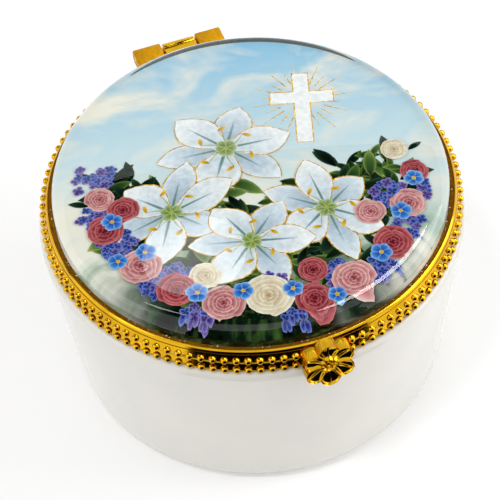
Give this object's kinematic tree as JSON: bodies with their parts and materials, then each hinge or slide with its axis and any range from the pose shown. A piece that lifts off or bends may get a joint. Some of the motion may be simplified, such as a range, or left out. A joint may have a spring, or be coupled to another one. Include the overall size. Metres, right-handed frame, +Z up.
{
  "type": "rosary box",
  "caption": "Round white porcelain box with gilt beaded rims, a picture under a clear dome on its hinged lid, and a flower-shaped front clasp.",
  "frame": {"origin": "centre of the foot, on the surface that the box stands on", "axes": "+Z up, +Y towards the hinge, -Y towards the clasp, +X to the right seen from the clasp"},
  "size_m": [0.071, 0.0776, 0.0433],
  "materials": {
    "glazed_porcelain": "gloss",
    "gilt_brass": "polished",
    "gilt_sheet": "satin",
    "printed_paper": "satin",
    "clear_glass": "polished"
  },
  "bodies": {
    "base": {"cup": "glazed_porcelain", "base_rim": "gilt_brass", "base_beading": "gilt_brass", "hinge_knuckle_left": "gilt_brass", "hinge_knuckle_right": "gilt_brass", "hinge_pin": "gilt_brass", "catch": "gilt_brass"},
    "lid": {"lid_rim": "gilt_brass", "lid_beading": "gilt_brass", "hinge_barrel": "gilt_brass", "backing_plate": "gilt_sheet", "picture_disc": "printed_paper", "dome": "clear_glass", "clasp": "gilt_brass", "clasp_seed": "gilt_brass"}
  },
  "joints": [
    {"name": "lid_hinge", "type": "hinge", "parent": "base", "child": "lid", "pos_m": [0, 0.03885, 0.03447], "axis": [-1, 0, 0], "range_deg": [0, 100]}
  ]
}
